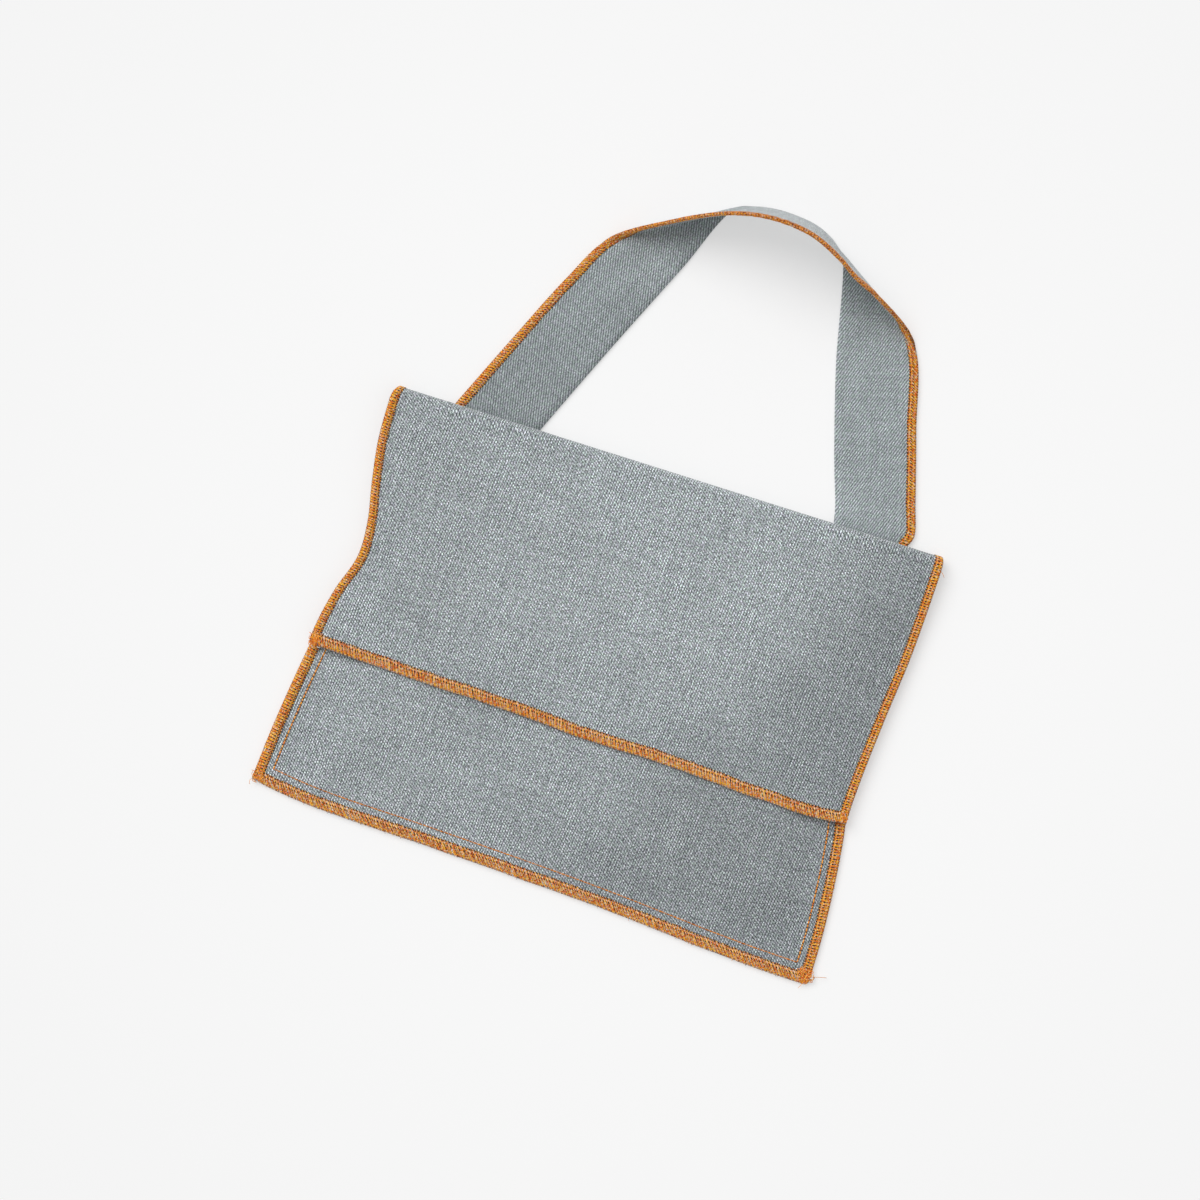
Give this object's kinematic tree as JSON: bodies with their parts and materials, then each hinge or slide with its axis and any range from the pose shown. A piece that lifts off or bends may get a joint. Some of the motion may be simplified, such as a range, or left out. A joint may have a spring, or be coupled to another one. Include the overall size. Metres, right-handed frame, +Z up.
{
  "type": "flap shoulder bag",
  "caption": "Flat denim shoulder bag lying on its back, with a fold-over flap, overlocked edges and a looped shoulder strap.",
  "frame": {"origin": "on the table, under the middle of the outline of the bag and its strap as it lies on its back", "axes": "+Z up out of the bag's front, +Y from the bottom seam towards the strap's crown, +X to the right along the bag"},
  "size_m": [0.3681, 0.4508, 0.0532],
  "materials": {
    "denim": "matte grey-blue twill, the reverse side of a light indigo denim",
    "thread": "matte spun polyester thread, orange"
  },
  "bodies": {
    "pouch": {"back_panel": "denim", "front_panel": "denim", "strap_end_left": "denim", "strap_end_right": "denim", "strap_end_edging_left": "thread", "strap_end_edging_right": "thread", "strap_stitching_left": "thread", "strap_stitching_right": "thread", "side_edging_left": "thread", "side_edging_right": "thread", "side_seam_left": "thread", "side_seam_right": "thread", "bottom_edging": "thread", "bottom_seam": "thread", "mouth_edging": "thread"},
    "flap": {"flap_panel": "denim", "flap_edging_left": "thread", "flap_edging_right": "thread", "hem_edging": "thread"},
    "strap": {"strap_band": "denim", "strap_edging": "thread"}
  },
  "joints": [
    {"name": "flap_fold", "type": "hinge", "parent": "pouch", "child": "flap", "pos_m": [0.0017, 0.05, 0.0064], "axis": [-0.9999, -0.0134, 0], "range_deg": [0, 105]},
    {"name": "strap_swing", "type": "hinge", "parent": "pouch", "child": "strap", "pos_m": [0.0017, 0.0503, 0.0034], "axis": [0.9999, 0.0134, 0], "range_deg": [0, 50]}
  ]
}
